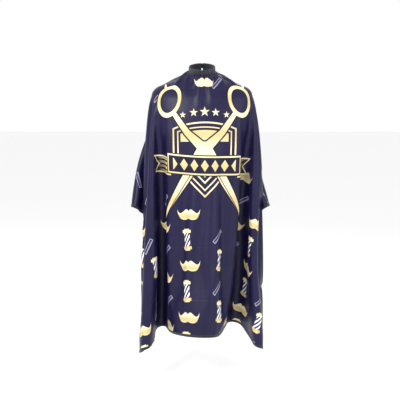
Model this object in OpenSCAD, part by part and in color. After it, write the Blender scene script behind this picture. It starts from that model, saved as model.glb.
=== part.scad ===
// Barber cape, hanging from a wearer's neck.
// +Z is up, -Y is the wearer's front and the origin is the middle of the neck opening.
// Angles round the neck start at the front and grow towards +X, so the nape is at 180.

/* [Cloth] */
// Width of the flat cloth, edge to edge
cloth_w = 1800; // [1500:20:1900]
// Length of the flat cloth, from its top edge to its bottom edge
cloth_l = 1420; // [1340:10:1460]
// Radius of the scoop cut into the middle of the top edge
scoop_r = 150; // [140:2:160]
// Thickness of the draped cloth as a solid
cloth_t = 1.6; // [1.2:0.1:2.4]
// Width of the hem round the outer edges
hem_w = 12; // [8:1:16]
// Thickness of the folded and sewn hem
hem_t = 2.6; // [2.2:0.1:4]

/* [Drape] */
// Slope of the cloth as it leaves the neck: at the front and at the shoulders
slope_top = [52, 24]; // [15:1:60]
// Slope of the hanging cloth below the bend: at the front and at the sides
slope_low = [80, 70]; // [66:1:86]
// Length of cloth before the bend: at the front and at the shoulders
run_top = [70, 115]; // [50:5:140]
// Length of cloth in the bend over the chest and shoulders
bend_len = 100; // [80:5:120]
// Length of cloth that flares outwards below the bend, before it hangs straight down
flare_len = 400; // [400:5:500]
// Number of folds that a full turn of hem would have
fold_count = 5; // [4:1:6]
// Depth of the folds at the hem, from mean to crest
fold_depth = 60; // [40:5:75]
// How far the skirt hangs inwards of the side wings
tuck_depth = 80; // [50:5:100]

/* [Collar] */
// Inner radius of the fastened collar
neck_r = 62; // [60:0.5:66]
// Height of the collar band
collar_h = 28; // [24:1:32]
// Forward tilt of the neck opening
neck_tilt = 18; // [10:1:24]
// Thickness of each fabric layer of the collar
layer_t = 0.8; // [0.6:0.1:1]
// Thickness of the elastic inside the collar
elastic_t = 1.4; // [1:0.1:1.6]
// Space between layers
layer_gap = 0.3; // [0.2:0.05:0.4]

/* [Closure] */
// Angle between neighbouring snap studs
stud_step = 12; // [11.5:0.5:13]
// Number of snap studs for different neck sizes
stud_count = 5; // [3:1:5]
// Radius of the flange of each snap part
snap_r = 5; // [4.5:0.1:5.2]
// Height of the closing tab
tab_h = 24; // [20:1:24]

/* [Hidden] */

cloth_color = "#201c48";
trim_color = "#0d1020";
metal_color = "#b8bcc4";

// Radial stack of the collar, from the neck outwards
elastic_r = neck_r + layer_t + layer_gap;
outer_r = elastic_r + elastic_t + layer_gap;
band_r = outer_r + layer_t;
half_h = collar_h / 2;
lip_t = 0.8;
nape_gap = 3;
binding_h = 5;
binding_r = band_r + 1.6;
binding_top = -half_h - 0.3;

// Snap parts: the flange of a stud stands just clear of the curved band
stud_r = band_r + 0.4;
stud_base_t = 0.5;
nib_r = 2.2;
nib_t = 1.1;
post_r = 1.4;
post_hole_r = 1.6;
back_t = 1;
back_face_r = outer_r - 0.2;
socket_t = 1.4;
socket_wall_t = 0.3;
socket_hole_r = 3;
socket_r = stud_r + stud_base_t + 0.2;
cap_t = 0.8;
cap_r = snap_r + 0.6;

// Closing tab: it leaves its anchor, crosses the nape and lies over the first two studs
tab_lining_r = socket_r + socket_t + 0.2;
tab_lining_t = 0.6;
tab_outer_r = tab_lining_r + tab_lining_t + layer_gap;
tab_outer_t = 0.6;
tab_face_r = tab_outer_r + tab_outer_t;
tab_start = 160;
stud_start = 192;
tab_sockets = 2;
tab_end = stud_start + stud_step * (tab_sockets - 1) + 6;
anchor_start = 147;
anchor_end = 158;
anchor_t = 2.6;
elastic_span = [-113, 145];
big = 400;

// Cloth: the edge of the gathered cloth sits just under the neck binding
cloth_neck_r = binding_r - 2;
cloth_neck_z = binding_top - binding_h - 0.4 - cloth_t / 2;
turn_neck = 1.94;
turn_mid = 1.5;
turn_low = 2.5;
turn_fade = 120;
turn_low_start = 900;
turn_low_len = 700;
fold_start = 450;
fold_len = 700;
tuck_start = 620;
tuck_len = 300;
seam_gap = 0.6;
panel_w = cloth_w / 2 - hem_w - seam_gap;
panel_l = cloth_l - hem_w - seam_gap;
side_steps = 30;
bottom_steps = 36;
ring_steps = 19;

// --- Drape: from flat cloth coordinates to the hanging shape ---

function smooth(t) = let (u = min(1, max(0, t))) u * u * (3 - 2 * u);

// How far round the body a line that leaves the neck has turned, per degree on the flat cloth
function turn(r) =
    turn_mid
    + (turn_neck - turn_mid) * exp(-(r - scoop_r) / turn_fade)
    + (turn_low - turn_mid) * smooth((r - turn_low_start) / turn_low_len);

// Value between the front and the side of the body
function around(pair, a) = pair[0] + (pair[1] - pair[0]) * pow(sin(a), 2);

// Outward and downward travel after a length s of cloth: a slope, a bend, a flare and a plumb line
function travel(s, a) =
    let (
        top = around(slope_top, a),
        low = around(slope_low, a),
        run = around(run_top, a),
        bend_r = bend_len / ((low - top) * PI / 180),
        s1 = min(s, run),
        turned = top + (low - top) * min(1, max(0, (s - run) / bend_len)),
        below = max(0, s - run - bend_len),
        flare = min(below, flare_len)
    )
    [
        s1 * cos(top) + bend_r * (sin(turned) - sin(top)) + flare * cos(low),
        s1 * sin(top) + bend_r * (cos(top) - cos(turned)) + flare * sin(low) + below - flare
    ];

function fold(s, a) = fold_depth * smooth((s - fold_start) / fold_len) * cos(fold_count * a);

function tuck(s, a) = tuck_depth * smooth((s - tuck_start) / tuck_len) * pow(sin(a), 2);

// Point of the tilted neck ring where the cloth starts
function neck_point(a) = [
    cloth_neck_r * sin(a),
    -cloth_neck_r * cos(a) * cos(neck_tilt) - cloth_neck_z * sin(neck_tilt),
    -cloth_neck_r * cos(a) * sin(neck_tilt) + cloth_neck_z * cos(neck_tilt)
];

// Hanging position of the flat point [x, y], where y is measured down from the top edge
function drape(p) =
    let (
        r = max(scoop_r, norm(p)),
        s = r - scoop_r,
        a = atan2(p[0], p[1]) * turn(r),
        go = travel(s, a),
        out = go[0] + fold(s, a) - tuck(s, a)
    )
    neck_point(a) + [out * sin(a), -out * cos(a), -go[1]];

function unit(v) = v / norm(v);

// Outward normal of the hanging cloth at a flat point, from two short steps along the cloth
function face_normal(p) =
    let (
        r = norm(p),
        along = p / r,
        across = [p[1], -p[0]] / r,
        d = 2,
        q = r - d < scoop_r ? p + along * d : p
    )
    unit(cross(drape(q + along * d) - drape(q - along * d), drape(q + across * d) - drape(q - across * d)));

// --- Closed shell over a grid of flat points, rows of equal length ---

function flat_list(rows) = [for (row = rows) for (p = row) p];

module cloth_shell(grid, thickness) {
    rows = len(grid);
    cols = len(grid[0]);
    middle = [for (row = grid) [for (p = row) drape(p)]];
    normals = [for (row = grid) [for (p = row) face_normal(p)]];
    outer = [for (i = [0:rows - 1]) [for (j = [0:cols - 1]) middle[i][j] + normals[i][j] * thickness / 2]];
    inner = [for (i = [0:rows - 1]) [for (j = [0:cols - 1]) middle[i][j] - normals[i][j] * thickness / 2]];
    n = rows * cols;
    rim = concat(
        [for (j = [0:cols - 1]) j],
        [for (i = [1:rows - 1]) i * cols + cols - 1],
        [for (j = [cols - 2:-1:0]) (rows - 1) * cols + j],
        [for (i = [rows - 2:-1:1]) i * cols]
    );
    faces = concat(
        [for (i = [0:rows - 2]) for (j = [0:cols - 2])
            let (k = i * cols + j) each [[k, k + 1, k + cols + 1], [k, k + cols + 1, k + cols]]],
        [for (i = [0:rows - 2]) for (j = [0:cols - 2])
            let (k = n + i * cols + j) each [[k, k + cols + 1, k + 1], [k, k + cols, k + cols + 1]]],
        [for (i = [0:len(rim) - 1])
            let (a = rim[i], b = rim[(i + 1) % len(rim)]) each [[a, a + n, b + n], [a, b + n, b]]]
    );
    polyhedron(points = concat(flat_list(outer), flat_list(inner)), faces = faces);
}

// --- Flat outlines ---

function mix(a, b, t) = a + (b - a) * t;

// Points along the outer edge of a flat cloth of half width w and length l, from top left to top right
function edge_points(w, l) = concat(
    [for (i = [0:side_steps - 1]) [-w, mix(0, l, i / side_steps)]],
    [for (i = [0:bottom_steps - 1]) [mix(-w, w, i / bottom_steps), l]],
    [for (i = [0:side_steps]) [w, mix(l, 0, i / side_steps)]]
);

// Rings from the scoop to the outer edge, closer together near the neck.
// The panel stops below the hems of the top edge, so its two ends start a little way down the scoop.
function panel_grid() =
    let (
        edge = edge_points(panel_w, panel_l),
        top_in = hem_w + seam_gap,
        squeeze = acos(top_in / scoop_r) / atan2(panel_w, top_in)
    )
    [for (i = [0:ring_steps])
        let (t = pow(i / ring_steps, 1.3))
        [for (p = edge)
            let (q = [p[0], max(top_in, p[1])], a = atan2(q[0], q[1]) * squeeze)
            mix(scoop_r * [sin(a), cos(a)], q, t)]];

// A hem between two flat points, to the inner side given by inward
function hem_grid(from, to, inward, steps) =
    [for (k = [0, 1])
        [for (i = [0:steps]) mix(from, to, i / steps) + inward * hem_w * (1 - k)]];

// --- Parts ---

module cape_panel() {
    color(cloth_color) cloth_shell(panel_grid(), cloth_t);
}

module hem_strip(from, to, inward, steps) {
    color(trim_color) cloth_shell(hem_grid(from, to, inward, steps), hem_t);
}

module hem_bottom() {
    hem_strip([-cloth_w / 2, cloth_l], [cloth_w / 2, cloth_l], [0, -1], 2 * bottom_steps);
}

// The side hems stop short of the hems that cross their ends
module hem_side(side) {
    x = side * cloth_w / 2;
    high = hem_w + seam_gap;
    low = cloth_l - hem_w - seam_gap;
    from = side < 0 ? [x, high] : [x, low];
    to = side < 0 ? [x, low] : [x, high];
    hem_strip(from, to, [-side, 0], 2 * side_steps);
}

module hem_left() {
    hem_side(-1);
}

module hem_right() {
    hem_side(1);
}

module hem_top(side) {
    near = [side * (scoop_r + 2), 0];
    far = [side * cloth_w / 2, 0];
    from = side < 0 ? near : far;
    to = side < 0 ? far : near;
    hem_strip(from, to, [0, 1], side_steps);
}

module hem_top_left() {
    hem_top(-1);
}

module hem_top_right() {
    hem_top(1);
}

// Places its children in the frame of the tilted neck opening
module at_neck() {
    rotate([neck_tilt, 0, 0]) children();
}

// Stands its children on the band at an angle from the front, with their +Z pointing outwards
module at_angle(a) {
    rotate([0, 0, a - 90]) rotate([0, 90, 0]) children();
}

// Sector of a flat disc between two angles from the front
module sector(a0, a1) {
    steps = 24;
    polygon(concat([[0, 0]], [for (i = [0:steps])
        let (a = mix(a0, a1, i / steps)) [big * sin(a), -big * cos(a)]]));
}

// Curved band between two radii and two heights, over a range of angles
module band(r0, r1, z0, z1, a0, a1) {
    intersection() {
        difference() {
            translate([0, 0, z0]) cylinder(r = r1, h = z1 - z0, $fn = 180);
            translate([0, 0, z0 - 1]) cylinder(r = r0, h = z1 - z0 + 2, $fn = 180);
        }
        translate([0, 0, z0 - 1]) linear_extrude(z1 - z0 + 2) sector(a0, a1);
    }
}

module collar_band(r0, r1, z0, z1) {
    band(r0, r1, z0, z1, -180 + nape_gap, 180 - nape_gap);
}

module stud_holes() {
    for (i = [0:stud_count - 1])
        at_angle(stud_start + i * stud_step)
            translate([0, 0, outer_r - 2]) cylinder(r = post_hole_r, h = layer_t + 4, $fn = 48);
}

module collar_lining() {
    color(trim_color) at_neck() collar_band(neck_r, neck_r + layer_t, -half_h, half_h);
}

module collar_elastic() {
    color("ivory") at_neck()
        band(elastic_r, elastic_r + elastic_t, 2 - half_h, half_h - 2, elastic_span[0], elastic_span[1]);
}

// Outer fabric, folded inwards over the top of the elastic
module collar_outer() {
    color(trim_color) at_neck() difference() {
        union() {
            collar_band(outer_r, band_r, -half_h, half_h + layer_gap + lip_t);
            collar_band(neck_r + 0.4, band_r, half_h + layer_gap, half_h + layer_gap + lip_t);
        }
        stud_holes();
    }
}

// Rolled seam binding that holds the gathered neck edge of the cloth
module neck_binding() {
    color(trim_color) at_neck()
        collar_band(neck_r + 0.2, binding_r, binding_top - binding_h, binding_top);
}

module tab_anchor() {
    color(trim_color) at_neck()
        band(band_r, band_r + anchor_t, -tab_h / 2, tab_h / 2, anchor_start, anchor_end);
}

// Holes through the tab at each snap
module tab_holes() {
    for (i = [0:tab_sockets - 1])
        at_angle(stud_start + i * stud_step) cylinder(r = post_hole_r, h = big, $fn = 32);
}

module tab_layer(r, t, h) {
    color(trim_color) at_neck() difference() {
        band(r, r + t, -h / 2, h / 2, tab_start, tab_end);
        tab_holes();
    }
}

module tab_outer() {
    tab_layer(tab_outer_r, tab_outer_t, tab_h);
}

module tab_lining() {
    tab_layer(tab_lining_r, tab_lining_t, tab_h - 1);
}

// Snap stud: flange on the band, nib outwards and post inwards through the fabric
module snap_stud() {
    translate([0, 0, stud_r]) cylinder(r = snap_r, h = stud_base_t, $fn = 48);
    translate([0, 0, stud_r]) cylinder(r = nib_r, h = stud_base_t + nib_t, $fn = 48);
    translate([0, 0, back_face_r]) cylinder(r = post_r, h = stud_r - back_face_r + stud_base_t, $fn = 32);
}

module snap_studs() {
    color(metal_color) at_neck()
        for (i = [0:stud_count - 1]) at_angle(stud_start + i * stud_step) snap_stud();
}

// Washer behind the outer fabric that each stud is riveted to
module stud_backs() {
    color(metal_color) at_neck()
        for (i = [0:stud_count - 1]) at_angle(stud_start + i * stud_step)
            translate([0, 0, back_face_r - back_t]) cylinder(r = snap_r, h = back_t, $fn = 48);
}

// Socket: a shallow cup, open towards the stud
module snap_socket() {
    difference() {
        translate([0, 0, socket_r]) cylinder(r = snap_r, h = socket_t, $fn = 48);
        translate([0, 0, socket_r - 1]) cylinder(r = socket_hole_r, h = socket_t - socket_wall_t + 1, $fn = 48);
    }
}

module snap_sockets() {
    color(metal_color) at_neck()
        for (i = [0:tab_sockets - 1]) at_angle(stud_start + i * stud_step) snap_socket();
}

// Cap on the outside of the tab, with the post that holds the socket
module snap_cap() {
    translate([0, 0, tab_face_r]) cylinder(r = cap_r, h = cap_t, $fn = 48);
    translate([0, 0, socket_r + socket_t]) cylinder(r = post_r, h = tab_face_r - socket_r - socket_t + cap_t, $fn = 32);
}

module snap_caps() {
    color(metal_color) at_neck()
        for (i = [0:tab_sockets - 1]) at_angle(stud_start + i * stud_step) snap_cap();
}

cape_panel();
hem_bottom();
hem_left();
hem_right();
hem_top_left();
hem_top_right();
neck_binding();
collar_outer();
collar_elastic();
collar_lining();
tab_anchor();
tab_outer();
tab_lining();
snap_studs();
stud_backs();
snap_sockets();
snap_caps();
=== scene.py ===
"""A barber cape, hanging from its snap collar as it does on a tailor's dummy.

The cloth is a flat sheet with a neck scoop and round lower corners. A small position-based cloth
solver drapes it from the collar over a hidden bust. It isn't left free: its edges are drawn towards
a plan of where they hang, given below, and its skirt is held within a width. The hems are swept
along its edges, the collar and tab are built as stitched bands, and the print is drawn by the
cloth's own material from flat positions.
All lengths are metres, in the frame of the CAD model: +Z up, the wearer's front towards -Y.
"""
import math

import bmesh
import bpy
import numpy as np
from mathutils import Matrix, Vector


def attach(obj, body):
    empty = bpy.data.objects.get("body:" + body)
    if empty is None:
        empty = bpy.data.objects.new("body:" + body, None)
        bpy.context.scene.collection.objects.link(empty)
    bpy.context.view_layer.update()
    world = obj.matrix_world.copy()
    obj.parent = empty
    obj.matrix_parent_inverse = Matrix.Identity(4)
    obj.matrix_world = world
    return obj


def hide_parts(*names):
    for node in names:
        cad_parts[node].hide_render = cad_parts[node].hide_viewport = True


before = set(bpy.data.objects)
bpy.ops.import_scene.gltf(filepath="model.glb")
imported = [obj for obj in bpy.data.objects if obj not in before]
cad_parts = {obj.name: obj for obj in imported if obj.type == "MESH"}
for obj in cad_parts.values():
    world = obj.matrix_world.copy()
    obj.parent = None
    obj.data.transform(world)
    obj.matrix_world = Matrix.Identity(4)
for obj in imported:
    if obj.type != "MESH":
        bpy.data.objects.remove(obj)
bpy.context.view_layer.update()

# --- Sizes of the cape ---
WIDTH = 1.80
LENGTH = 1.42
SCOOP = 0.15
CORNER_R = 0.125
HEM_W = 0.012
HEM_T = 0.0026
NECK_TILT = math.radians(18)
GATHER_R = 0.0676
GATHER_Z = -0.0205
GATHER_LIFT = 0.012
LIFT_ENDS = 2.4
LIFT_BLEND = 0.5
NECK_R = 0.062
BAND_R = 0.0656
HALF_BAND = 0.014

# --- The bust under the cape: height, half width, half depth, centre in y ---
SHOULDER = 0.25
BUST = np.array([
    (0.060, 0.045, 0.042, -0.020),
    (0.000, 0.047, 0.044, 0.002),
    (-0.030, 0.056, 0.046, 0.008),
    (-0.040, 0.090, 0.050, 0.010),
    (-0.055, 0.135, 0.056, 0.012),
    (-0.070, 0.180, 0.066, 0.012),
    (-0.085, SHOULDER - 0.030, 0.076, 0.012),
    (-0.105, SHOULDER - 0.008, 0.090, 0.008),
    (-0.135, SHOULDER, 0.102, 0.004),
    (-0.200, SHOULDER - 0.002, 0.114, 0.000),
    (-0.300, SHOULDER - 0.020, 0.120, -0.004),
    (-0.450, SHOULDER - 0.060, 0.100, 0.000),
    (-0.550, SHOULDER - 0.070, 0.085, 0.000),
    (-0.600, 0.050, 0.040, 0.000),
])[::-1]
BUST_POWER = 2.3
BUST_GAP = 0.004

# --- Where the edges of the cloth hang, seen from above, from the middle of the bottom hem to a
# --- lower corner, and from that corner up the side to the top corner
HEM_PLAN = {
    1: [(0.01, -0.30), (0.085, -0.27), (0.11, -0.20), (0.115, 0.02), (0.145, 0.10), (0.20, 0.10),
        (0.235, 0.04), (0.245, -0.05), (0.29, -0.10), (0.325, -0.04), (0.295, 0.10)],
    -1: [(0.01, -0.30), (-0.07, -0.27), (-0.12, -0.22), (-0.165, -0.18), (-0.18, 0.0), (-0.21, 0.06),
         (-0.235, 0.02), (-0.245, -0.14), (-0.29, -0.20), (-0.325, -0.14), (-0.32, 0.0), (-0.27, 0.08)],
}
SIDE_PLAN = {
    1: [(0.295, 0.10), (0.28, 0.0), (0.20, 0.10), (0.20, 0.16), (0.24, 0.08), (0.30, 0.0), (0.40, 0.08)],
    -1: [(-0.27, 0.08), (-0.25, 0.0), (-0.26, 0.12), (-0.20, 0.16), (-0.24, 0.08), (-0.30, 0.0),
         (-0.405, 0.10)],
}
# Below the wings the skirt hangs inside this half width, a little wider towards the floor
SKIRT_TOP = -0.80
SKIRT_HALF = 0.312
SKIRT_FLARE = 0.035

# --- Solver settings ---
GRAVITY = 9.81
BEND_SOFTNESS = 2e-5
SHEAR_SOFTNESS = 1e-6
FRICTION = 0.3
EDGE_PULL = 250.0
TIP_PULL = -0.3
SKIRT_PULL = 0.1
COARSE = dict(step=0.025, seconds=1.5, substeps=1400, damping=4.0, apart=0.010)
FINE = dict(step=0.0125, seconds=0.45, substeps=620, damping=5.0, apart=0.007)


# ---------- The flat cloth ----------

def rounded_corners(flat):
    """Moves the points near the two lower corners of the sheet in, so that the corners are round."""
    across = np.clip((np.abs(flat[:, 0]) - (WIDTH / 2 - CORNER_R)) / CORNER_R, 0, 1)
    down = np.clip((flat[:, 1] - (LENGTH - CORNER_R)) / CORNER_R, 0, 1)
    cut = flat.copy()
    cut[:, 0] -= np.sign(flat[:, 0]) * CORNER_R * across * (1 - np.sqrt(1 - down ** 2 / 2))
    cut[:, 1] -= CORNER_R * down * (1 - np.sqrt(1 - across ** 2 / 2))
    return cut


def flat_cloth(step):
    """Flat grid with the neck scoop cut out: positions, faces, which points lie on the scoop."""
    across = round(WIDTH / step)
    down = round(LENGTH / step)
    gx, gy = np.meshgrid(np.linspace(-WIDTH / 2, WIDTH / 2, across + 1), np.linspace(0, LENGTH, down + 1))
    flat = np.stack([gx.ravel(), gy.ravel()], 1)
    radius = np.hypot(flat[:, 0], flat[:, 1])
    number = np.arange(len(flat)).reshape(down + 1, across + 1)
    kept = radius > SCOOP - 0.5 * step
    rim = kept & (radius < SCOOP + 0.5 * step)
    flat[rim] *= (SCOOP / radius[rim])[:, None]
    merged = np.arange(len(flat))
    around_rim = sorted(np.nonzero(rim)[0], key=lambda i: math.atan2(flat[i, 0], flat[i, 1]))
    last = around_rim[0]
    for i in around_rim[1:]:
        if np.hypot(*(flat[i] - flat[last])) < 0.6 * step:
            merged[i] = last
        else:
            last = i
    faces = []
    for j in range(down):
        for i in range(across):
            corners = (number[j, i], number[j, i + 1], number[j + 1, i + 1], number[j + 1, i])
            face = list(dict.fromkeys(int(merged[c]) for c in corners if kept[c]))
            if len(face) >= 3 and not all(rim[c] for c in face):
                faces.append(face)
    used = np.unique([c for face in faces for c in face])
    new = -np.ones(len(flat), int)
    new[used] = np.arange(len(used))
    grid = new[merged]
    grid[~kept] = -1
    faces = [[int(new[c]) for c in face] for face in faces]
    return dict(step=step, flat=flat[used], cut=rounded_corners(flat[used]), faces=faces, rim=rim[used],
                grid=grid.reshape(down + 1, across + 1))


def neighbours(grid, offsets):
    """Pairs of points that lie a given number of cells apart."""
    rows, cols = grid.shape
    pairs = set()
    for dy, dx in offsets:
        first = grid[max(0, -dy):rows - max(0, dy), max(0, -dx):cols - max(0, dx)]
        second = grid[max(0, dy):rows + min(0, dy), max(0, dx):cols + min(0, dx)]
        both = (first >= 0) & (second >= 0) & (first != second)
        for a, b in zip(first[both].tolist(), second[both].tolist()):
            pairs.add((min(a, b), max(a, b)))
    return np.array(sorted(pairs))


def independent_groups(pairs, count):
    """Splits pairs into groups in which no point appears twice, so a group can be moved at once."""
    taken = [0] * count
    groups = []
    for k, (a, b) in enumerate(pairs.tolist()):
        busy = taken[a] | taken[b]
        colour = 0
        while busy >> colour & 1:
            colour += 1
        taken[a] |= 1 << colour
        taken[b] |= 1 << colour
        while len(groups) <= colour:
            groups.append([])
        groups[colour].append(k)
    return [np.array(group) for group in groups]


# ---------- The starting shape ----------

def smooth(t):
    t = np.clip(t, 0, 1)
    return t * t * (3 - 2 * t)


def along(corners, t):
    """Point at the fraction t of the length of a smooth curve through the corners."""
    p = np.array(corners)
    ends = np.concatenate([[2 * p[0] - p[1]], p, [2 * p[-1] - p[-2]]])
    u = np.linspace(0, len(p) - 1 - 1e-9, 600)
    i = u.astype(int)
    f = (u - i)[:, None]
    a, b, c, d = ends[i], ends[i + 1], ends[i + 2], ends[i + 3]
    bend = (2 * a - 5 * b + 4 * c - d) * f ** 2
    twist = (3 * b - a - 3 * c + d) * f ** 3
    curve = 0.5 * (2 * b + (c - a) * f + bend + twist)
    length = np.concatenate([[0], np.cumsum(np.hypot(*np.diff(curve, axis=0).T))])
    length /= length[-1]
    return np.stack([np.interp(t, length, curve[:, 0]), np.interp(t, length, curve[:, 1])], -1)


def edge_targets(flat):
    """For each flat point, where the edge of the cloth in its direction hangs in plan, and how far it is."""
    radius = np.maximum(np.hypot(flat[:, 0], flat[:, 1]), 1e-6)
    dx, dy = flat[:, 0] / radius, flat[:, 1] / radius
    reach = np.minimum(WIDTH / 2 / np.maximum(np.abs(dx), 1e-9), LENGTH / np.maximum(dy, 1e-9))
    ex, ey = dx * reach, dy * reach
    on_hem = ey > LENGTH - 1e-6
    target = np.zeros((len(flat), 2))
    for side in (1, -1):
        mine = np.sign(ex + 1e-12) == side
        target[mine & on_hem] = along(HEM_PLAN[side], np.abs(ex[mine & on_hem]) / (WIDTH / 2))
        target[mine & ~on_hem] = along(SIDE_PLAN[side], (LENGTH - ey[mine & ~on_hem]) / LENGTH)
    return target, reach


def neck_point(a):
    """Point on the gathered neck edge. It follows the collar's tilt, and lies higher away from the nape."""
    x = GATHER_R * np.sin(a)
    y = -GATHER_R * np.cos(a)
    z = GATHER_Z + GATHER_LIFT * smooth((LIFT_ENDS - np.abs(a)) / LIFT_BLEND)
    c, s = math.cos(NECK_TILT), math.sin(NECK_TILT)
    return x, y * c - z * s, y * s + z * c


def shoulder_line(q, a):
    """How far out the smooth upper cape reaches, a flat distance q from the scoop centre, in direction a."""
    s = q - SCOOP
    side = np.sin(a) ** 2
    top = np.radians(52 - 28 * side)
    low = np.radians(82 - 12 * side)
    run = 0.07 + 0.045 * side
    bend = 0.10 / (low - top)
    turned = top + (low - top) * np.clip((s - run) / 0.10, 0, 1)
    beyond = np.clip(s - run - 0.10, 0, 0.475)
    out = np.minimum(s, run) * np.cos(top) + bend * (np.sin(turned) - np.sin(top)) + beyond * np.cos(low)
    return out - 0.10 * smooth((s - 0.60) / 0.3) * side


def start_shape(flat):
    """The cloth before the solver: smooth over the shoulders, and folded towards its edge plan below."""
    target, reach = edge_targets(flat)
    angle = np.arctan2(flat[:, 0], flat[:, 1])
    radius = np.maximum(np.hypot(flat[:, 0], flat[:, 1]), SCOOP)

    def plan(q):
        a = angle * np.interp(q, [0.15, 0.3, 0.5, 0.9], [1.94, 1.6, 1.35, 1.2])
        x, y, z = neck_point(a)
        out = shoulder_line(q, a)
        upper = np.stack([x + out * np.sin(a), y - out * np.cos(a)], 1)
        lower = smooth((q - 0.35) / np.maximum(reach - 0.35, 0.05))[:, None]
        return upper * (1 - lower) + target * lower, z

    here, height = plan(np.full(len(flat), SCOOP))
    steps = 60
    for k in range(1, steps + 1):
        nxt, _ = plan(SCOOP + (radius - SCOOP) * k / steps)
        length = (radius - SCOOP) / steps
        sideways = ((nxt - here) ** 2).sum(1)
        height = height - np.sqrt(np.maximum(length ** 2 - sideways, (0.1 * length) ** 2))
        here = nxt
    return np.concatenate([here, height[:, None]], 1)


# ---------- The solver ----------

def bust_distance(p):
    width = np.interp(p[:, 2], BUST[:, 0], BUST[:, 1]) + BUST_GAP
    depth = np.interp(p[:, 2], BUST[:, 0], BUST[:, 2]) + BUST_GAP
    middle = np.interp(p[:, 2], BUST[:, 0], BUST[:, 3])
    ring = (np.abs(p[:, 0] / width) ** BUST_POWER + np.abs((p[:, 1] - middle) / depth) ** BUST_POWER)
    distance = (ring ** (1 / BUST_POWER) - 1) * np.minimum(width, depth)
    return np.where((p[:, 2] < BUST[0, 0]) | (p[:, 2] > BUST[-1, 0]), 9.0, distance)


def push_off_bust(p, before, free):
    """Moves points out of the bust, and slows them where they rub on it."""
    distance = bust_distance(p)
    inside = np.nonzero((distance < 0) & free)[0]
    if len(inside) == 0:
        return
    q = p[inside]
    slope = np.empty_like(q)
    for axis in range(3):
        nearby = q.copy()
        nearby[:, axis] += 1e-4
        slope[:, axis] = (bust_distance(nearby) - distance[inside]) / 1e-4
    squared = np.maximum((slope ** 2).sum(1), 1e-6)
    q = q - (distance[inside] / squared)[:, None] * slope
    normal = slope / np.sqrt(squared)[:, None]
    move = q - before[inside]
    q -= FRICTION * (move - normal * (move * normal).sum(1)[:, None])
    p[inside] = q


def draw_in_skirt(p):
    """Draws the cloth below the wings in to the width of the skirt, a little at a time."""
    lower = np.clip((SKIRT_TOP - p[:, 2]) / 0.6, 0, 1)
    wings = np.clip((p[:, 2] - SKIRT_TOP) / 0.10, 0, 1)
    half = SKIRT_HALF + SKIRT_FLARE * lower + 0.3 * wings
    over = np.maximum(np.abs(p[:, 0]) - half, 0) * (p[:, 2] < SKIRT_TOP + 0.12)
    p[:, 0] -= SKIRT_PULL * over * np.sign(p[:, 0])


def close_pairs(p, flat, limit, step):
    """Pairs of points closer than limit that aren't neighbours in the flat cloth."""
    cell = np.floor(p / limit).astype(np.int64)
    cell -= cell.min(0) - 1
    size = cell.max(0) + 2
    key = (cell[:, 0] * size[1] + cell[:, 1]) * size[2] + cell[:, 2]
    order = np.argsort(key, kind="stable")
    ordered = key[order]
    first, second = [], []
    for dx in (-1, 0, 1):
        for dy in (-1, 0, 1):
            for dz in (-1, 0, 1):
                shift = (dx * size[1] + dy) * size[2] + dz
                if shift < 0:
                    continue
                low = np.searchsorted(ordered, key + shift, "left")
                count = np.searchsorted(ordered, key + shift, "right") - low
                a = np.repeat(np.arange(len(p)), count)
                before = np.repeat(np.cumsum(count) - count, count)
                b = order[np.repeat(low, count) + np.arange(len(a)) - before]
                keep = a < b if shift == 0 else a != b
                first.append(a[keep])
                second.append(b[keep])
    a, b = np.concatenate(first), np.concatenate(second)
    near = ((p[a] - p[b]) ** 2).sum(1) < limit ** 2
    a, b = a[near], b[near]
    apart = ((flat[a] - flat[b]) ** 2).sum(1) > (3.2 * step) ** 2
    return a[apart], b[apart]


def distance_links(cloth, dt):
    """Constraint groups: threads both ways, the diagonals, and a soft link over two cells for bending."""
    flat, grid = cloth["cut"], cloth["grid"]
    kinds = [
        (neighbours(grid, [(0, 1), (1, 0)]), 0.0),
        (neighbours(grid, [(1, 1), (1, -1)]), SHEAR_SOFTNESS),
        (neighbours(grid, [(0, 2), (2, 0)]), BEND_SOFTNESS),
    ]
    links = []
    for pairs, softness in kinds:
        middle = (flat[pairs[:, 0]] + flat[pairs[:, 1]]) / 2
        pairs = pairs[np.hypot(middle[:, 0], middle[:, 1]) > SCOOP - 0.3 * cloth["step"]]
        rest = np.linalg.norm(flat[pairs[:, 0]] - flat[pairs[:, 1]], axis=1)
        for group in independent_groups(pairs, len(flat)):
            links.append((pairs[group, 0], pairs[group, 1], rest[group], softness / dt ** 2))
    return links


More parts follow.
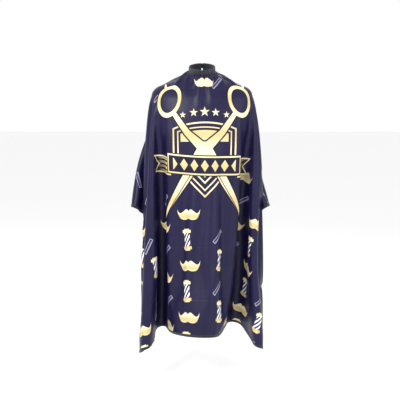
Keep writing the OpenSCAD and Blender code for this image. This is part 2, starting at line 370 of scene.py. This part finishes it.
def drape(cloth, p, seconds, substeps, damping, apart):
    """Lets the cloth fall from its neck edge until it hangs, with its edges drawn to their plan."""
    flat, rim, step = cloth["flat"], cloth["rim"], cloth["step"]
    dt = seconds / substeps
    links = distance_links(cloth, dt)
    weight = np.where(rim, 0.0, 1.0)
    free = ~rim
    movable = np.nonzero(free)[0]
    rim_points = np.nonzero(rim)[0]
    anchor = rim_points[np.argmin(((flat[:, None] - flat[None, rim_points]) ** 2).sum(2), axis=1)]
    tether = 1.003 * np.linalg.norm(flat - flat[anchor], axis=1)
    target, reach = edge_targets(flat)
    radius = np.hypot(flat[:, 0], flat[:, 1])
    pull = EDGE_PULL * smooth((radius / reach - 0.85) / 0.1) * free
    pull *= 1 + TIP_PULL * smooth((0.35 - flat[:, 1]) / 0.35)
    speed = np.zeros_like(p)
    close = None
    for k in range(substeps):
        speed[:, 2] -= GRAVITY * dt
        speed[:, :2] += (pull * dt)[:, None] * (target - p[:, :2])
        speed *= math.exp(-damping * dt)
        before = p.copy()
        p = p + speed * dt * free[:, None]
        for a, b, rest, give in links:
            gap = p[b] - p[a]
            length = np.sqrt((gap ** 2).sum(1))
            share = weight[a] + weight[b] + give
            fix = ((length - rest) / np.maximum(length * share, 1e-12))[:, None] * gap
            p[a] += weight[a][:, None] * fix
            p[b] -= weight[b][:, None] * fix
        gap = p[movable] - p[anchor[movable]]
        length = np.sqrt((gap ** 2).sum(1))
        p[movable] = p[anchor[movable]] + gap * np.minimum(1, tether[movable] / length)[:, None]
        if k % 12 == 0:
            close = close_pairs(p, flat, 1.5 * apart, step)
        a, b = close
        gap = p[b] - p[a]
        length = np.sqrt((gap ** 2).sum(1))
        touching = length < apart
        a, b, gap, length = a[touching], b[touching], gap[touching], length[touching]
        fix = (0.35 * (apart - length) / np.maximum(length, 1e-6))[:, None] * gap
        np.add.at(p, a, -fix * weight[a][:, None])
        np.add.at(p, b, fix * weight[b][:, None])
        push_off_bust(p, before, free)
        draw_in_skirt(p)
        speed = (p - before) / dt
        fastest = np.sqrt((speed ** 2).sum(1))
        speed *= np.minimum(1, 3.0 / np.maximum(fastest, 1e-9))[:, None]
    return p


def refine(coarse, p, fine):
    """Carries a draped shape over to a finer grid of the same cloth."""
    rows, cols = coarse["grid"].shape
    spread = start_shape(fine["flat"])
    result = spread.copy()
    at = fine["flat"] / [WIDTH / (cols - 1), LENGTH / (rows - 1)] + [(cols - 1) / 2, 0]
    for k, (u, v) in enumerate(at):
        if fine["rim"][k]:
            continue
        i, j = min(int(u), cols - 2), min(int(v), rows - 2)
        ids = coarse["grid"][[j, j, j + 1, j + 1], [i, i + 1, i, i + 1]]
        fu, fv = u - i, v - j
        share = np.array([(1 - fu) * (1 - fv), fu * (1 - fv), (1 - fu) * fv, fu * fv])
        known = ids >= 0
        if not known.any():
            continue
        share = np.maximum(share * known, 1e-9 * known)
        result[k] = (p[ids[known]] * (share[known] / share[known].sum())[:, None]).sum(0)
    return result


def hanging_cloth():
    """The draped cloth: its flat grid and its points in space."""
    coarse = flat_cloth(COARSE["step"])
    settings = {name: value for name, value in COARSE.items() if name != "step"}
    p = drape(coarse, start_shape(coarse["flat"]), **settings)
    fine = flat_cloth(FINE["step"])
    settings = {name: value for name, value in FINE.items() if name != "step"}
    return fine, drape(fine, refine(coarse, p, fine), **settings)


# ---------- Mesh helpers ----------

def new_object(name, points, faces, uvs=None, smooth_faces=True):
    mesh = bpy.data.meshes.new(name)
    mesh.from_pydata([tuple(map(float, point)) for point in points], [], faces)
    if uvs is not None:
        layer = mesh.uv_layers.new(name="flat")
        for loop in mesh.loops:
            layer.data[loop.index].uv = uvs[loop.vertex_index]
    mesh.polygons.foreach_set("use_smooth", [smooth_faces] * len(mesh.polygons))
    mesh.update()
    obj = bpy.data.objects.new(name, mesh)
    bpy.context.scene.collection.objects.link(obj)
    return obj


def subdivided(obj, levels=1):
    """Replaces the object's mesh by its smooth subdivision."""
    modifier = obj.modifiers.new("smooth", "SUBSURF")
    modifier.levels = levels
    modifier.render_levels = levels
    modifier.boundary_smooth = "PRESERVE_CORNERS"
    modifier.uv_smooth = "NONE"
    evaluated = obj.evaluated_get(bpy.context.evaluated_depsgraph_get())
    mesh = bpy.data.meshes.new_from_object(evaluated)
    obj.modifiers.clear()
    obj.data = mesh


def give(obj, material, body, slot, *nodes):
    """Finishes a piece: its material, its body and the CAD nodes it stands for. The slot argument is not
    used.
    """
    obj.data.materials.clear()
    obj.data.materials.append(material)
    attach(obj, body)
    if nodes:
        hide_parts(*nodes)
    return obj


# ---------- Hems ----------

def edge_chains(obj):
    """The open edge of the cloth, split at its corners: name -> (points, inward directions, normals)."""
    bm = bmesh.new()
    bm.from_mesh(obj.data)
    bm.verts.ensure_lookup_table()
    layer = bm.loops.layers.uv.active
    flat = {}
    for face in bm.faces:
        for loop in face.loops:
            flat[loop.vert.index] = loop[layer].uv.copy()
    def below(u):
        """Positive nearer the bottom edge than the side, which splits a round corner in the middle."""
        return (-u.y - LENGTH) - (abs(u.x) - WIDTH / 2)

    def at_side(u):
        return abs(u.x) > WIDTH / 2 - 1e-4 or (-u.y > LENGTH - CORNER_R and below(u) < 1e-4)

    rules = {
        "bottom": lambda u: -u.y > LENGTH - CORNER_R and below(u) > -1e-4,
        "left": lambda u: at_side(u) and u.x < 0,
        "right": lambda u: at_side(u) and u.x > 0,
        "top_left": lambda u: u.y > -1e-4 and u.x < 0,
        "top_right": lambda u: u.y > -1e-4 and u.x > 0,
    }
    chains = {}
    for name, rule in rules.items():
        sort_key = (lambda i: flat[i].y) if name in ("left", "right") else (lambda i: flat[i].x)
        edges = [e for e in bm.edges if e.is_boundary and all(rule(flat[v.index]) for v in e.verts)]
        inward = {}
        for edge in edges:
            middle = (edge.verts[0].co + edge.verts[1].co) / 2
            along_edge = (edge.verts[1].co - edge.verts[0].co).normalized()
            centre = edge.link_faces[0].calc_center_median() - middle
            centre -= along_edge * centre.dot(along_edge)
            for vert in edge.verts:
                inward[vert.index] = inward.get(vert.index, Vector()) + centre.normalized()
        order = sorted(inward, key=sort_key)
        chains[name] = (
            [bm.verts[i].co.copy() for i in order],
            [inward[i].normalized() for i in order],
            [bm.verts[i].normal.copy() for i in order],
        )
    bm.free()
    return chains


def hem(name, points, inward, normals):
    """A folded tape, swept along an edge of the cloth, with rounded edges."""
    half = HEM_T / 2
    profile = [(-0.0016, 0.0), (-0.0010, half), (0.006, half * 1.05), (HEM_W - 0.001, half),
               (HEM_W, 0.0), (HEM_W - 0.001, -half), (0.006, -half * 1.05), (-0.0010, -half)]
    count = len(profile)
    verts, uvs, length = [], [], 0.0
    for k, point in enumerate(points):
        if k:
            length += (point - points[k - 1]).length
        for across, up in profile:
            verts.append(point + inward[k] * across + normals[k] * up)
            uvs.append((length, across))
    faces = [
        (k * count + i, k * count + (i + 1) % count, (k + 1) * count + (i + 1) % count, (k + 1) * count + i)
        for k in range(len(points) - 1) for i in range(count)
    ]
    faces.append(tuple(reversed(range(count))))
    faces.append(tuple(range((len(points) - 1) * count, len(points) * count)))
    return new_object(name, verts, faces, uvs)


# ---------- Collar and tab ----------

def in_collar(radius, angle, height):
    """Point on the collar: distance from its axis, angle from the front, height on the tilted axis."""
    y = -radius * math.cos(angle)
    c, s = math.cos(NECK_TILT), math.sin(NECK_TILT)
    return Vector((radius * math.sin(angle), y * c - height * s, y * s + height * c))


def band(name, profile, start, end, ripple=0.0, ripples=0, steps=360):
    """A strip of fabric with a closed profile (radius, height) along an arc of the collar, in degrees."""
    count = len(profile)
    low = min(height for _, height in profile)
    high = max(height for _, height in profile)
    verts, uvs = [], []
    for k in range(steps + 1):
        t = k / steps
        angle = math.radians(start + (end - start) * t)
        gather = math.sin(ripples * angle) + 0.5 * math.sin(ripples * 1.7 * angle + 1.3)
        for radius, height in profile:
            inner = math.sin(math.pi * (height - low) / (high - low))
            verts.append(in_collar(radius + ripple * gather * inner, angle, height))
            uvs.append((angle * radius, height))
    faces = [
        (k * count + i, k * count + (i + 1) % count, (k + 1) * count + (i + 1) % count, (k + 1) * count + i)
        for k in range(steps) for i in range(count)
    ]
    faces.append(tuple(reversed(range(count))))
    faces.append(tuple(range(steps * count, (steps + 1) * count)))
    return new_object(name, verts, faces, uvs)


def rounded_strip(inner, outer, bottom, top, pieces=8):
    """Closed profile of a soft strip: two faces with rounded edges at the bottom and the top."""
    middle, half = (inner + outer) / 2, (outer - inner) / 2
    heights = [bottom + (top - bottom) * i / pieces for i in range(pieces + 1)]
    outside = [(outer if 0 < i < pieces else middle + half * 0.5, h) for i, h in enumerate(heights)]
    inside = [(inner if 0 < i < pieces else middle - half * 0.5, h) for i, h in enumerate(heights)]
    return outside + inside[::-1]


# ---------- Materials ----------

class Num:
    """A number that varies over a surface: the output of a node, with ordinary arithmetic."""

    def __init__(self, tree, socket):
        self.tree = tree
        self.socket = socket

    def math(self, operation, *others):
        node = self.tree.nodes.new("ShaderNodeMath")
        node.operation = operation
        for socket, value in zip(node.inputs, (self,) + others):
            if isinstance(value, Num):
                self.tree.links.new(value.socket, socket)
            else:
                socket.default_value = value
        return Num(self.tree, node.outputs[0])

    def __add__(self, other):
        return self.math("ADD", other)

    def __sub__(self, other):
        return self.math("SUBTRACT", other)

    def __rsub__(self, other):
        return self.math("MULTIPLY", -1.0).math("ADD", other)

    def __mul__(self, other):
        return self.math("MULTIPLY", other)

    def __truediv__(self, other):
        return self.math("DIVIDE", other)

    def __neg__(self):
        return self.math("MULTIPLY", -1.0)

    def __abs__(self):
        return self.math("ABSOLUTE")

    def __pow__(self, other):
        return self.math("POWER", other)

    def smaller(self, other):
        return self.math("MINIMUM", other)

    def larger(self, other):
        return self.math("MAXIMUM", other)

    def unit(self):
        return self.larger(0.0).smaller(1.0)

    def sine(self):
        return self.math("SINE")

    def wrap(self, period):
        """The distance to the nearest multiple of the period, with its sign."""
        return self.math("WRAP", period / 2, -period / 2)


def length(x, y):
    return (x * x + y * y).math("SQRT")


def inside(distance, soft=0.0012):
    """1 inside a shape, 0 outside it, with a soft edge."""
    return (0.5 - distance / soft).unit()


def turned(x, y, degrees):
    c, s = math.cos(math.radians(degrees)), math.sin(math.radians(degrees))
    return x * c + y * s, y * c - x * s


def box_shape(x, y, width, height):
    return (abs(x) - width / 2).larger(abs(y) - height / 2)


def bar_shape(x, y, start, end, thick_start, thick_end):
    """A straight bar between two points whose thickness changes evenly."""
    dx, dy = end[0] - start[0], end[1] - start[1]
    px, py = x - start[0], y - start[1]
    t = ((px * dx + py * dy) / (dx * dx + dy * dy)).unit()
    half = t * ((thick_end - thick_start) / 2) + thick_start / 2
    return length(px - t * dx, py - t * dy) - half


def star_shape(x, y, size):
    """Five-pointed star: the size is a Num or a number, from the centre to a point."""
    sector = 2 * math.pi / 5
    angle = abs(x.math("ARCTAN2", y).wrap(sector))
    radius = length(x, y)
    along_point = radius * angle.math("COSINE")
    off_point = radius * angle.sine()
    tip = math.radians(18)
    return (along_point - size) * math.sin(tip) + off_point * math.cos(tip)


def outline_curve(x, points):
    """A height that follows a smooth curve through a few (position, height) points, from 0 to 1."""
    node = x.tree.nodes.new("ShaderNodeFloatCurve")
    curve = node.mapping.curves[0]
    for place, height in points[1:-1]:
        curve.points.new(place, height)
    curve.points[0].location = points[0]
    curve.points[-1].location = points[-1]
    node.mapping.update()
    x.tree.links.new(x.socket, node.inputs["Value"])
    return Num(x.tree, node.outputs[0])


def moustache_shape(x, y, width):
    """Two mirrored halves with a notch in the middle and curled tips."""
    u = (abs(x) / (width / 2)).unit()
    upper = outline_curve(
        u, [(0.0, 0.66), (0.10, 0.76), (0.24, 0.80), (0.50, 0.66), (0.78, 0.56), (1.0, 0.80)])
    lower = outline_curve(
        u, [(0.0, 0.22), (0.16, 0.16), (0.45, 0.13), (0.72, 0.20), (0.90, 0.44), (1.0, 0.78)])
    rise = y / (width * 0.62) + 0.5
    return ((rise - upper).larger(lower - rise) * (width * 0.62)).larger(abs(x) - width / 2)


class Painter:
    """Lays colours over each other in a material."""

    def __init__(self, tree, colour):
        self.tree = tree
        self.colour = colour

    def lay(self, mask, colour):
        node = self.tree.nodes.new("ShaderNodeMix")
        node.data_type = "RGBA"
        self.tree.links.new(mask.socket, node.inputs[0])
        self._feed(node.inputs[6], self.colour)
        self._feed(node.inputs[7], colour)
        self.colour = node.outputs[2]
        return self

    def _feed(self, socket, colour):
        if isinstance(colour, tuple):
            socket.default_value = (*colour, 1.0)
        else:
            self.tree.links.new(colour, socket)


def mixed(tree, factor, first, second):
    painter = Painter(tree, first)
    painter.lay(factor, second)
    return painter.colour


def srgb(code):
    """Linear colour of a #rrggbb code."""
    parts = [int(code[i:i + 2], 16) / 255 for i in (1, 3, 5)]
    return tuple(c / 12.92 if c <= 0.04045 else ((c + 0.055) / 1.055) ** 2.4 for c in parts)


def new_material(name, roughness, **settings):
    material = bpy.data.materials.new(name)
    material.use_nodes = True
    shader = material.node_tree.nodes["Principled BSDF"]
    shader.inputs["Roughness"].default_value = roughness
    for socket, value in settings.items():
        shader.inputs[socket.replace("_", " ")].default_value = value
    return material, material.node_tree, shader


def noise(tree, scale, detail=3.0, coordinates="Object"):
    node = tree.nodes.new("ShaderNodeTexNoise")
    node.inputs["Scale"].default_value = scale
    node.inputs["Detail"].default_value = detail
    source = tree.nodes.new("ShaderNodeTexCoord")
    tree.links.new(source.outputs[coordinates], node.inputs["Vector"])
    return Num(tree, node.outputs["Fac"])


def flat_position(tree):
    """The place on the flat piece, in metres: across, and up."""
    source = tree.nodes.new("ShaderNodeUVMap")
    source.uv_map = "flat"
    split = tree.nodes.new("ShaderNodeSeparateXYZ")
    tree.links.new(source.outputs["UV"], split.inputs[0])
    return Num(tree, split.outputs[0]), Num(tree, split.outputs[1])


def bump(tree, shader, height, distance):
    node = tree.nodes.new("ShaderNodeBump")
    node.inputs["Strength"].default_value = 1.0
    node.inputs["Distance"].default_value = distance
    tree.links.new(height.socket, node.inputs["Height"])
    tree.links.new(node.outputs["Normal"], shader.inputs["Normal"])


NAVY = srgb("#19143f")
NAVY_DEEP = srgb("#0e0b28")
CREAM = srgb("#eee0b9")
GOLD = srgb("#cbb883")
PALE = srgb("#b9b3d6")
WHITE = srgb("#f2f0f6")
BLACK = srgb("#0c0d18")


def gold_at(tree, y, period):
    """Printed gold: cream and darker gold in soft stripes up the cloth."""
    wave = (y * (2 * math.pi / period)).sine() * 0.5 + 0.5
    return mixed(tree, wave, CREAM, GOLD)


def paint_scissors(painter, x, y, gold):
    """Open scissors crossed behind the banner, mirrored left to right; y is measured from the pivot."""
    side = abs(x)
    ru, rv = turned(side - 0.178, y - 0.225, 16)
    ring = abs(((ru * ru) / 0.052 ** 2 + (rv * rv) / 0.070 ** 2).math("SQRT") - 1.0) * 0.055 - 0.0085
    rest = bar_shape(side, y, (0.203, 0.285), (0.222, 0.318), 0.014, 0.006)
    arm = bar_shape(side, y, (0.150, 0.165), (0.085, 0.075), 0.022, 0.030)
    shank = bar_shape(side, y, (0.085, 0.075), (0.0, -0.005), 0.030, 0.050)
    blade = bar_shape(side, y, (0.0, 0.0), (0.262, -0.388), 0.066, 0.002)
    groove = bar_shape(side, y, (0.040, -0.080), (0.236, -0.362), 0.005, 0.003)
    shape = ring.smaller(rest).smaller(arm).smaller(shank).smaller(blade)
    painter.lay(inside(shape - 0.007), NAVY_DEEP)
    painter.lay(inside(shape), gold)
    painter.lay(inside(groove), NAVY_DEEP)


def paint_shield(painter, x, y, gold):
    """A plain shield with double outlines, a filled upper field and chevrons at its point."""
    side = abs(x)
    top = y - 0.150 + x * x * 1.3
    sides = side - 0.158
    point = (side - (y + 0.215)) * 0.72
    shape = top.larger(sides).larger(point)
    painter.lay(inside(abs(shape + 0.004) - 0.0038), gold)
    painter.lay(inside(abs(shape + 0.026) - 0.0030), gold)
    field = (shape + 0.040).larger(y * -1.0 + 0.055).larger(y - 0.118 + x * x * 1.3)
    painter.lay(inside(field), gold)
    for depth in (0.052, 0.074):
        chevron = (abs(shape + depth) - 0.0036).larger(y + 0.075)
        painter.lay(inside(chevron), gold)


def paint_banner(painter, x, y, gold):
    """A ribbon across the shield with swallow tails, and a row of plain lozenges along it."""
    side = abs(x)
    rise = y - x * x * 0.35 + x * 0.03
    tail = (abs(rise + 0.016) - 0.043).larger(side - 0.305).larger(0.17 - side)
    tail = tail.larger(side - 0.268 - abs(rise + 0.016) * 0.8)
    painter.lay(inside(tail), NAVY_DEEP)
    painter.lay(inside(abs(tail + 0.004) - 0.0032), gold)
    fade = (1.0 - ((side - 0.20) * 14.0)).unit()
    rays = inside(tail + 0.010) * inside((rise * 300.0).sine() - 0.2, 0.8) * fade
    painter.lay(rays, gold)
    shape = (abs(rise) - 0.046).larger(side - 0.188)
    painter.lay(inside(shape - 0.005), NAVY_DEEP)
    painter.lay(inside(abs(shape + 0.004) - 0.0036), gold)
    lozenge = abs(x.wrap(0.052)) * 0.9 + abs(rise) * 0.62 - 0.0175
    painter.lay(inside(lozenge.larger(side - 0.158)), gold)


def paint_stars(painter, x, y, gold):
    """Five stars in a shallow arch, the largest in the middle."""
    spacing = 0.053
    local = x.wrap(spacing)
    place = abs(x - local) / spacing
    size = 0.025 - place * 0.0045
    rise = y + place * place * 0.004
    shape = star_shape(local, rise, size).larger(abs(x) - spacing * 2.5)
    painter.lay(inside(shape), gold)


def outside_emblem(cx, cy):
    """1 where a small motif centred there clears the emblem."""
    distance = cx * cx / 0.32 ** 2 + (cy + 0.50) * (cy + 0.50) / 0.31 ** 2 - 1.0
    return (distance * 50.0).unit()


def paint_motifs(painter, tree, x, y):
    """Small motifs in three repeating columns: moustache and pole, pole and comb, moustache and comb."""
    pitch_x, pitch_y = 0.54, 0.25
    gold = gold_at(tree, y, 0.05)

    def cell(cx, cy, degrees, first_row):
        local_x = (x - cx).wrap(pitch_x)
        local_y = (y - cy).wrap(pitch_y)
        clear = outside_emblem(x - local_x, y - local_y)
        clear = clear * ((first_row - (y - local_y)) * 50.0).unit()
        return (*turned(local_x, local_y, degrees), clear)

    for cx, cy, degrees in ((-0.085, -1.075, 0), (0.29, -0.885, -8)):
        u, v, clear = cell(cx, cy, degrees, -0.42)
        shape = moustache_shape(u, v, 0.122)
        stripes = inside((u * 900.0).sine() - 0.5, 0.6) * inside(v + 0.002) * inside(shape + 0.003)
        painter.lay(inside(shape) * clear, gold)
        painter.lay(stripes * clear * 0.5, GOLD)
    for cx, cy, degrees in ((-0.095, -0.950, 4), (0.09, -1.050, -5)):
        u, v, clear = cell(cx, cy, degrees, -0.84)
        tube = box_shape(u, v, 0.038, 0.068)
        stripe = ((u * 1.4 - v) * (2 * math.pi / 0.030)).sine()
        caps = box_shape(u, abs(v) - 0.040, 0.052, 0.014).smaller(box_shape(u, abs(v) - 0.049, 0.034, 0.008))
        painter.lay(inside(tube) * clear, WHITE)
        painter.lay(inside(tube) * inside(stripe, 0.4) * clear, NAVY)
        painter.lay(inside(caps) * clear, gold)
    for cx, cy, degrees in ((0.075, -0.935, 45), (0.31, -1.010, 40)):
        u, v, clear = cell(cx, cy, degrees, -0.15)
        comb = box_shape(u, v, 0.080, 0.015)
        teeth = inside((u * 900.0).sine(), 0.6) * inside(v + 0.001) * inside(comb + 0.002)
        painter.lay(inside(abs(comb) - 0.0011) * clear, PALE)
        painter.lay(teeth * clear * 0.6, PALE)


def printed_cloth():
    """Satin polyester with a gold print, a fine weave, packing creases and gathers at the neck."""
    material, tree, shader = new_material(
        "printed_cloth", 0.42, Specular_IOR_Level=0.26, Sheen_Weight=0.08, Sheen_Roughness=0.30)
    shader.inputs["Sheen Tint"].default_value = (*srgb("#8f88c8"), 1.0)
    x, y = flat_position(tree)
    x = x - 0.012
    cloud = noise(tree, 9.0, 4.0)
    painter = Painter(tree, mixed(tree, cloud, NAVY, NAVY_DEEP))
    paint_motifs(painter, tree, x, y)
    emblem_gold = gold_at(tree, y, 0.16)
    paint_shield(painter, x, y + 0.532, emblem_gold)
    paint_scissors(painter, x, y + 0.510, emblem_gold)
    paint_banner(painter, x, y + 0.593, emblem_gold)
    paint_stars(painter, x, y + 0.335, emblem_gold)
    painter.lay(inside(moustache_shape(x, y + 0.186, 0.112)), emblem_gold)
    tree.links.new(painter.colour, shader.inputs["Base Color"])

    weave = (x * 5200.0).sine() * (y * 5200.0).sine()
    crease_y = (1.0 - abs((y + 0.73).wrap(0.255)) / 0.004).larger(0.0)
    crease_x = (1.0 - abs((x + 0.02).wrap(0.36)) / 0.004).larger(0.0)
    around = x.math("ARCTAN2", y * -1.0)
    near_neck = (1.0 - (length(x, y) - SCOOP) / 0.13).unit()
    gathers = ((around * 46.0).sine() + (around * 29.0 + 0.7).sine() * 0.7) * near_neck * near_neck
    wrinkles = noise(tree, 14.0, 5.0)
    height = weave * 0.012 + (crease_y + crease_x) * 0.20 + gathers * 0.9 + wrinkles * 0.9
    bump(tree, shader, height, 0.0022)
    return material


def trim_fabric():
    """Black satin tape with a fine rib and a dashed line of stitches along its inner edge."""
    material, tree, shader = new_material(
        "trim_fabric", 0.5, Specular_IOR_Level=0.4, Sheen_Weight=0.2, Sheen_Roughness=0.4)
    u, v = flat_position(tree)
    cloud = noise(tree, 30.0, 3.0)
    painter = Painter(tree, mixed(tree, cloud, BLACK, srgb("#171826")))
    dash = inside((u * (2 * math.pi / 0.0030)).sine() - 0.4, 0.5)
    line = inside(abs(v - (HEM_W - 0.0025)) - 0.0004, 0.0003)
    painter.lay(dash * line, srgb("#3b3c52"))
    tree.links.new(painter.colour, shader.inputs["Base Color"])
    rib = ((u + v) * 4200.0).sine() * 0.25
    bump(tree, shader, rib + dash * line * 1.0 + cloud * 0.6, 0.0006)
    return material


def collar_fabric():
    """Knitted elastic cover: upright ribs, and a line of stitches near each edge."""
    material, tree, shader = new_material(
        "collar_fabric", 0.62, Specular_IOR_Level=0.35, Sheen_Weight=0.25, Sheen_Roughness=0.5)
    u, v = flat_position(tree)
    cloud = noise(tree, 60.0, 3.0)
    painter = Painter(tree, mixed(tree, cloud, BLACK, srgb("#1a1b2b")))
    dash = inside((u * (2 * math.pi / 0.0028)).sine() - 0.4, 0.5)
    line = inside(abs(abs(v) - HALF_BAND + 0.0035) - 0.0004, 0.0003)
    painter.lay(dash * line, srgb("#44455c"))
    tree.links.new(painter.colour, shader.inputs["Base Color"])
    rib = (u * (2 * math.pi / 0.0017)).sine()
    bump(tree, shader, rib * 0.5 + dash * line + cloud * 0.5, 0.0005)
    return material


def snap_metal():
    """Nickel-plated snap parts, lightly brushed and worn."""
    material, tree, shader = new_material("snap_metal", 0.28, Metallic=1.0)
    cloud = noise(tree, 420.0, 5.0)
    painter = Painter(tree, mixed(tree, cloud, srgb("#c9ccd2"), srgb("#9a9ea8")))
    tree.links.new(painter.colour, shader.inputs["Base Color"])
    tree.links.new((cloud * 0.18 + 0.18).socket, shader.inputs["Roughness"])
    bump(tree, shader, noise(tree, 900.0, 4.0), 0.00012)
    return material


# ---------- Camera, light and floor ----------

def camera():
    data = bpy.data.cameras.new("camera")
    data.sensor_width = 36.0
    data.lens = 63.8
    obj = bpy.data.objects.new("camera", data)
    bpy.context.scene.collection.objects.link(obj)
    look_at = Vector((-0.010, 0.0, -0.652))
    elevation, distance = math.radians(8), 3.6
    obj.location = look_at + distance * Vector((0, -math.cos(elevation), math.sin(elevation)))
    obj.rotation_euler = (look_at - obj.location).to_track_quat("-Z", "Y").to_euler()
    bpy.context.scene.camera = obj


def area_light(name, place, size, power):
    data = bpy.data.lights.new(name, "AREA")
    data.shape = "DISK"
    data.size = size
    data.energy = power
    obj = bpy.data.objects.new(name, data)
    bpy.context.scene.collection.objects.link(obj)
    obj.location = place
    obj.rotation_euler = (Vector((0, 0, -0.6)) - obj.location).to_track_quat("-Z", "Y").to_euler()


def studio():
    bpy.context.scene.view_settings.view_transform = "Standard"
    area_light("key", (-1.6, -3.0, 1.2), 1.2, 85)
    area_light("fill", (2.4, -2.6, 0.3), 1.6, 30)
    area_light("back", (0.4, 2.6, 1.4), 1.6, 30)
    world = bpy.data.worlds.new("studio")
    world.use_nodes = True
    world.node_tree.nodes["Background"].inputs["Color"].default_value = (1, 1, 1, 1)
    world.node_tree.nodes["Background"].inputs["Strength"].default_value = 1.0
    bpy.context.scene.world = world
    floor = new_object("floor", [(-30, -30, -1.62), (30, -30, -1.62), (30, 30, -1.62), (-30, 30, -1.62)],
                       [(0, 1, 2, 3)])
    material, tree, shader = new_material("pale_floor", 0.9)
    shader.inputs["Base Color"].default_value = (0.93, 0.93, 0.93, 1)
    floor.data.materials.append(material)


# ---------- The cape ----------

def build_cloth(cloth_material, trim_material):
    cloth, points = hanging_cloth()
    uvs = [(float(x), -float(y)) for x, y in cloth["cut"]]
    panel = new_object("cape_cloth", points, cloth["faces"], uvs)
    subdivided(panel)
    panel.data.polygons.foreach_set("use_smooth", [True] * len(panel.data.polygons))
    give(panel, cloth_material, "cape", "printed_cloth", "cape_panel")
    for name, chain in edge_chains(panel).items():
        piece = hem("cloth_hem_" + name, *chain)
        give(piece, trim_material, "cape", "trim_fabric", "hem_" + name)


def build_collar(collar_material, trim_material):
    body = band("collar_cover", rounded_strip(NECK_R, BAND_R, -HALF_BAND, HALF_BAND + 0.001),
                -177, 177, ripple=0.0004, ripples=70, steps=720)
    give(body, collar_material, "cape", "trim_fabric", "collar_outer", "collar_elastic", "collar_lining")
    binding = band("neck_tape", rounded_strip(NECK_R + 0.0002, BAND_R + 0.0016, -0.0193, -0.0143, 4),
                   -177, 177, ripple=0.0003, ripples=52, steps=720)
    give(binding, trim_material, "cape", "trim_fabric", "neck_binding")
    anchor = band("tab_seam", rounded_strip(BAND_R, BAND_R + 0.0026, -0.012, 0.012), 147, 158, steps=24)
    give(anchor, collar_material, "cape", "trim_fabric", "tab_anchor")
    tab = band("closing_tab", rounded_strip(0.0684, 0.0698, -0.012, 0.012), 160, 210, steps=120)
    give(tab, collar_material, "tab", "trim_fabric", "tab_outer", "tab_lining")


def build():
    metal = snap_metal()
    for node in ("snap_studs", "stud_backs", "snap_sockets", "snap_caps"):
        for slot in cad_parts[node].material_slots:
            slot.material = metal
    trim = trim_fabric()
    build_cloth(printed_cloth(), trim)
    build_collar(collar_fabric(), trim)


camera()
studio()
build()
